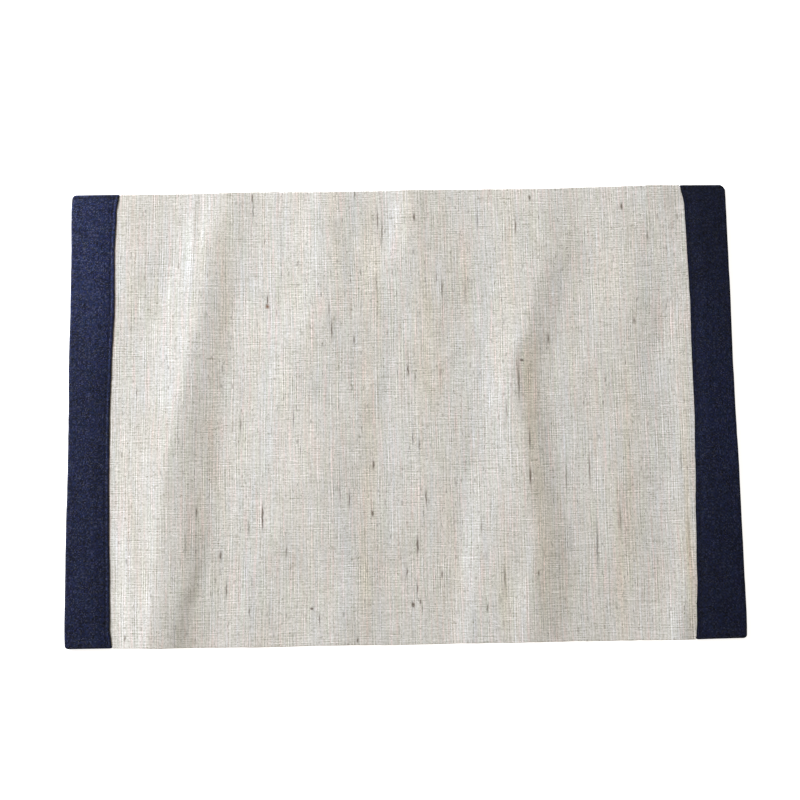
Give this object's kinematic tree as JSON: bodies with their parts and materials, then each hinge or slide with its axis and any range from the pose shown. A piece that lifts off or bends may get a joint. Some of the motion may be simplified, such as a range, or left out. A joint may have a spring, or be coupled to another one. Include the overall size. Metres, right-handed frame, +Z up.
{
  "type": "placemat",
  "caption": "Rectangular woven fabric placemat with a cream slub-weave middle in soft folds and a dark binding over each short end.",
  "frame": {"origin": "middle of the mat, on the surface that it lies on", "axes": "+X along the mat towards its right end, +Y towards its back edge, +Z up out of its face"},
  "size_m": [0.484, 0.3315, 0.0064],
  "materials": {
    "cream_slub_cloth": "matt plain weave with thick and thin yarns and small dark slubs",
    "navy_cloth": "matt fine twill, topstitched near its edges"
  },
  "bodies": {
    "root": {"panel": "cream_slub_cloth", "band_left": "navy_cloth", "band_right": "navy_cloth"}
  },
  "joints": []
}
